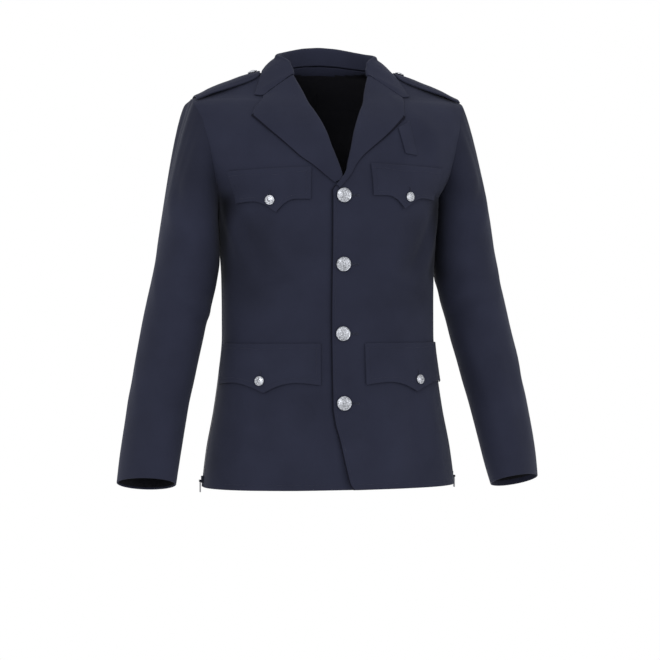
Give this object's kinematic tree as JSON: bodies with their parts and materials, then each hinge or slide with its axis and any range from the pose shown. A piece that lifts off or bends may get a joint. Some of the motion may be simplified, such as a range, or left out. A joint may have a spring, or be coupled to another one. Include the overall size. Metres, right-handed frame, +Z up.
{
  "type": "dress coat",
  "caption": "Single-breasted dress coat worn open-necked: notched lapels, scalloped pocket flaps, shoulder straps, zipped side vents, hollow body and sleeves.",
  "frame": {"origin": "middle of the neck opening at the height of the high shoulder points, where the wearer carries the coat", "axes": "+Z up, front of the coat towards -Y, the wearer's left towards +X"},
  "size_m": [0.6822, 0.2643, 0.7137],
  "materials": {
    "wool": "matte",
    "button_metal": "brushed",
    "zip": "matte",
    "pull_metal": "satin"
  },
  "bodies": {
    "coat": {"front_left": "wool", "front_right": "wool", "back": "wool", "sleeve_left": "wool", "sleeve_right": "wool", "lapel_left": "wool", "lapel_right": "wool", "collar": "wool", "chest_flap_left": "wool", "chest_flap_right": "wool", "hip_flap_left": "wool", "hip_flap_right": "wool", "shoulder_strap_left": "wool", "shoulder_strap_right": "wool", "badge_tab": "wool", "front_button_1": "button_metal", "front_button_2": "button_metal", "front_button_3": "button_metal", "front_button_4": "button_metal", "chest_button_left": "button_metal", "chest_button_right": "button_metal", "hip_button_left": "button_metal", "hip_button_right": "button_metal", "strap_button_left": "button_metal", "strap_button_right": "button_metal", "zip_left": "zip", "zip_right": "zip"},
    "zip_pull_left": {"zip_pull_left": "pull_metal"},
    "zip_pull_right": {"zip_pull_right": "pull_metal"}
  },
  "joints": [
    {"name": "pull_left_swing", "type": "hinge", "parent": "coat", "child": "zip_pull_left", "pos_m": [0.20725, 0, -0.6502], "axis": [0, -1, 0], "range_deg": [0, 150]},
    {"name": "pull_right_swing", "type": "hinge", "parent": "coat", "child": "zip_pull_right", "pos_m": [-0.20725, 0, -0.6502], "axis": [0, 1, 0], "range_deg": [0, 150]}
  ]
}
